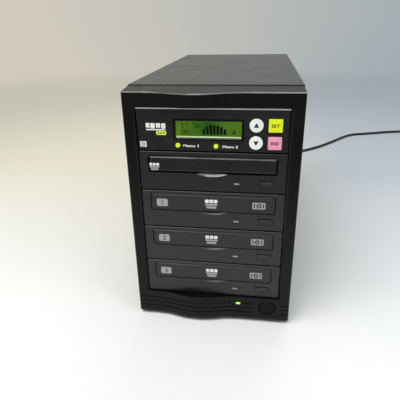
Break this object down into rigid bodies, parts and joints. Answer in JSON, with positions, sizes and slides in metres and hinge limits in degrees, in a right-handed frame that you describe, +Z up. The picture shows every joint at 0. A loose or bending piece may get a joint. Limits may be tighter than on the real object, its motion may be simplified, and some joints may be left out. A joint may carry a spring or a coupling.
{
  "type": "optical disc duplicator tower",
  "caption": "Black desktop tower that copies optical discs: control panel over a stack of tray drives, power button at the base, mains lead at the rear.",
  "frame": {"origin": "on the table, midway along the width and depth of the tower without its mains lead", "axes": "+Z up, +X to the right seen from the front, front faces -Y"},
  "size_m": [0.6866, 0.9361, 0.2677],
  "materials": {
    "cover_steel": "black powder coat, satin",
    "case_steel": "galvanised sheet",
    "front_plastic": "moulded, satin",
    "green_lamp": "lit light pipe",
    "foot_rubber": "matte",
    "screw_steel": "plated",
    "panel_plastic": "fine speckled film over moulded plate",
    "circuit_board": "solder mask",
    "display_glass": "backlit display window",
    "white_key": "satin",
    "yellow_key": "satin",
    "pink_key": "satin",
    "lime_key": "satin",
    "loader_plastic": "moulded",
    "drive_lamp": "unlit lens",
    "drive_plastic": "fine grained",
    "tray_plastic": "moulded",
    "gear_plastic": "acetal",
    "turntable_metal": "turned",
    "pickup_metal": "die cast",
    "socket_plastic": "moulded",
    "fan_plastic": "moulded",
    "lead_plastic": "flexible vinyl"
  },
  "bodies": {
    "case": {"chassis": "case_steel", "drive_cage": "case_steel", "cover": "cover_steel", "front_bezel": "front_plastic", "power_lamp": "green_lamp", "feet": "foot_rubber", "screws": "screw_steel", "control_panel": "panel_plastic", "controller_board": "circuit_board", "lcd_module": "circuit_board", "lcd_glass": "display_glass", "drive_shells": "case_steel", "drive_loaders": "loader_plastic", "drive_lamps": "drive_lamp", "supply_case": "case_steel", "inlet_and_switch_frame": "socket_plastic", "fan_frames": "fan_plastic", "fan_guards": "screw_steel", "cord_connector": "lead_plastic", "cord": "lead_plastic", "cord_coil": "lead_plastic", "cord_plug": "lead_plastic", "reader_bezel": "drive_plastic", "writer_1_bezel": "drive_plastic", "writer_2_bezel": "drive_plastic", "writer_3_bezel": "drive_plastic"},
    "power_button": {"power_button": "front_plastic"},
    "up_key": {"up_key": "white_key"},
    "down_key": {"down_key": "white_key"},
    "confirm_key": {"confirm_key": "yellow_key"},
    "cancel_key": {"cancel_key": "pink_key"},
    "menu_1_key": {"menu_1_key": "lime_key"},
    "menu_2_key": {"menu_2_key": "lime_key"},
    "reader_tray": {"reader_tray": "tray_plastic", "reader_door": "drive_plastic"},
    "reader_pinion": {"reader_pinion": "gear_plastic"},
    "reader_eject": {"reader_eject": "drive_plastic"},
    "reader_turntable": {"reader_turntable": "turntable_metal"},
    "reader_pickup": {"reader_pickup": "pickup_metal"},
    "writer_1_tray": {"writer_1_tray": "tray_plastic", "writer_1_door": "drive_plastic"},
    "writer_1_pinion": {"writer_1_pinion": "gear_plastic"},
    "writer_1_eject": {"writer_1_eject": "drive_plastic"},
    "writer_1_turntable": {"writer_1_turntable": "turntable_metal"},
    "writer_1_pickup": {"writer_1_pickup": "pickup_metal"},
    "writer_2_tray": {"writer_2_tray": "tray_plastic", "writer_2_door": "drive_plastic"},
    "writer_2_pinion": {"writer_2_pinion": "gear_plastic"},
    "writer_2_eject": {"writer_2_eject": "drive_plastic"},
    "writer_2_turntable": {"writer_2_turntable": "turntable_metal"},
    "writer_2_pickup": {"writer_2_pickup": "pickup_metal"},
    "writer_3_tray": {"writer_3_tray": "tray_plastic", "writer_3_door": "drive_plastic"},
    "writer_3_pinion": {"writer_3_pinion": "gear_plastic"},
    "writer_3_eject": {"writer_3_eject": "drive_plastic"},
    "writer_3_turntable": {"writer_3_turntable": "turntable_metal"},
    "writer_3_pickup": {"writer_3_pickup": "pickup_metal"},
    "supply_rocker": {"supply_rocker": "socket_plastic"},
    "case_fan_rotor": {"case_fan_rotor": "fan_plastic"},
    "supply_fan_rotor": {"supply_fan_rotor": "fan_plastic"}
  },
  "joints": [
    {"name": "power_button_press", "type": "slide", "parent": "case", "child": "power_button", "axis": [0, 1, 0], "range_m": [0, 0.002], "stiffness_N_per_m": 400, "springref_m": -0.001},
    {"name": "up_key_press", "type": "slide", "parent": "case", "child": "up_key", "axis": [0, 1, 0], "range_m": [0, 0.0005], "stiffness_N_per_m": 1000, "springref_m": -0.0005},
    {"name": "down_key_press", "type": "slide", "parent": "case", "child": "down_key", "axis": [0, 1, 0], "range_m": [0, 0.0005], "stiffness_N_per_m": 1000, "springref_m": -0.0005},
    {"name": "confirm_key_press", "type": "slide", "parent": "case", "child": "confirm_key", "axis": [0, 1, 0], "range_m": [0, 0.0005], "stiffness_N_per_m": 1000, "springref_m": -0.0005},
    {"name": "cancel_key_press", "type": "slide", "parent": "case", "child": "cancel_key", "axis": [0, 1, 0], "range_m": [0, 0.0005], "stiffness_N_per_m": 1000, "springref_m": -0.0005},
    {"name": "menu_1_key_press", "type": "slide", "parent": "case", "child": "menu_1_key", "axis": [0, 1, 0], "range_m": [0, 0.0005], "stiffness_N_per_m": 1000, "springref_m": -0.0005},
    {"name": "menu_2_key_press", "type": "slide", "parent": "case", "child": "menu_2_key", "axis": [0, 1, 0], "range_m": [0, 0.0005], "stiffness_N_per_m": 1000, "springref_m": -0.0005},
    {"name": "reader_tray_slide", "type": "slide", "parent": "case", "child": "reader_tray", "axis": [0, -1, 0], "range_m": [0, 0.132]},
    {"name": "reader_pinion_spin", "type": "hinge", "parent": "case", "child": "reader_pinion", "pos_m": [-0.04816, -0.1715, 0.18392], "axis": [0, 0, 1], "range_deg": [0, 901]},
    {"name": "reader_eject_press", "type": "slide", "parent": "case", "child": "reader_eject", "axis": [0, 1, 0], "range_m": [0, 0.0008], "stiffness_N_per_m": 800, "springref_m": -0.0005},
    {"name": "reader_turntable_spin", "type": "hinge", "parent": "case", "child": "reader_turntable", "pos_m": [0, -0.1175, 0.18392], "axis": [0, 0, 1], "continuous": true},
    {"name": "reader_pickup_slide", "type": "slide", "parent": "case", "child": "reader_pickup", "axis": [0, 1, 0], "range_m": [0, 0.034]},
    {"name": "writer_1_tray_slide", "type": "slide", "parent": "case", "child": "writer_1_tray", "axis": [0, -1, 0], "range_m": [0, 0.132]},
    {"name": "writer_1_pinion_spin", "type": "hinge", "parent": "case", "child": "writer_1_pinion", "pos_m": [-0.04816, -0.1715, 0.141], "axis": [0, 0, 1], "range_deg": [0, 901]},
    {"name": "writer_1_eject_press", "type": "slide", "parent": "case", "child": "writer_1_eject", "axis": [0, 1, 0], "range_m": [0, 0.0008], "stiffness_N_per_m": 800, "springref_m": -0.0005},
    {"name": "writer_1_turntable_spin", "type": "hinge", "parent": "case", "child": "writer_1_turntable", "pos_m": [0, -0.1175, 0.141], "axis": [0, 0, 1], "continuous": true},
    {"name": "writer_1_pickup_slide", "type": "slide", "parent": "case", "child": "writer_1_pickup", "axis": [0, 1, 0], "range_m": [0, 0.034]},
    {"name": "writer_2_tray_slide", "type": "slide", "parent": "case", "child": "writer_2_tray", "axis": [0, -1, 0], "range_m": [0, 0.132]},
    {"name": "writer_2_pinion_spin", "type": "hinge", "parent": "case", "child": "writer_2_pinion", "pos_m": [-0.04816, -0.1715, 0.09808], "axis": [0, 0, 1], "range_deg": [0, 901]},
    {"name": "writer_2_eject_press", "type": "slide", "parent": "case", "child": "writer_2_eject", "axis": [0, 1, 0], "range_m": [0, 0.0008], "stiffness_N_per_m": 800, "springref_m": -0.0005},
    {"name": "writer_2_turntable_spin", "type": "hinge", "parent": "case", "child": "writer_2_turntable", "pos_m": [0, -0.1175, 0.09808], "axis": [0, 0, 1], "continuous": true},
    {"name": "writer_2_pickup_slide", "type": "slide", "parent": "case", "child": "writer_2_pickup", "axis": [0, 1, 0], "range_m": [0, 0.034]},
    {"name": "writer_3_tray_slide", "type": "slide", "parent": "case", "child": "writer_3_tray", "axis": [0, -1, 0], "range_m": [0, 0.132]},
    {"name": "writer_3_pinion_spin", "type": "hinge", "parent": "case", "child": "writer_3_pinion", "pos_m": [-0.04816, -0.1715, 0.05516], "axis": [0, 0, 1], "range_deg": [0, 901]},
    {"name": "writer_3_eject_press", "type": "slide", "parent": "case", "child": "writer_3_eject", "axis": [0, 1, 0], "range_m": [0, 0.0008], "stiffness_N_per_m": 800, "springref_m": -0.0005},
    {"name": "writer_3_turntable_spin", "type": "hinge", "parent": "case", "child": "writer_3_turntable", "pos_m": [0, -0.1175, 0.05516], "axis": [0, 0, 1], "continuous": true},
    {"name": "writer_3_pickup_slide", "type": "slide", "parent": "case", "child": "writer_3_pickup", "axis": [0, 1, 0], "range_m": [0, 0.034]},
    {"name": "supply_rocker_tilt", "type": "hinge", "parent": "case", "child": "supply_rocker", "pos_m": [0.052, 0.1858, 0.032], "axis": [1, 0, 0], "range_deg": [0, 16]},
    {"name": "case_fan_spin", "type": "hinge", "parent": "case", "child": "case_fan_rotor", "pos_m": [0, 0.177, 0.152], "axis": [0, 1, 0], "continuous": true},
    {"name": "supply_fan_spin", "type": "hinge", "parent": "case", "child": "supply_fan_rotor", "pos_m": [-0.028, 0.177, 0.05], "axis": [0, 1, 0], "continuous": true}
  ],
  "couplings": [
    {"joint": "reader_pinion_spin", "follows": "reader_tray_slide", "rad_per_m": 119.05},
    {"joint": "writer_1_pinion_spin", "follows": "writer_1_tray_slide", "rad_per_m": 119.05},
    {"joint": "writer_2_pinion_spin", "follows": "writer_2_tray_slide", "rad_per_m": 119.05},
    {"joint": "writer_3_pinion_spin", "follows": "writer_3_tray_slide", "rad_per_m": 119.05}
  ]
}
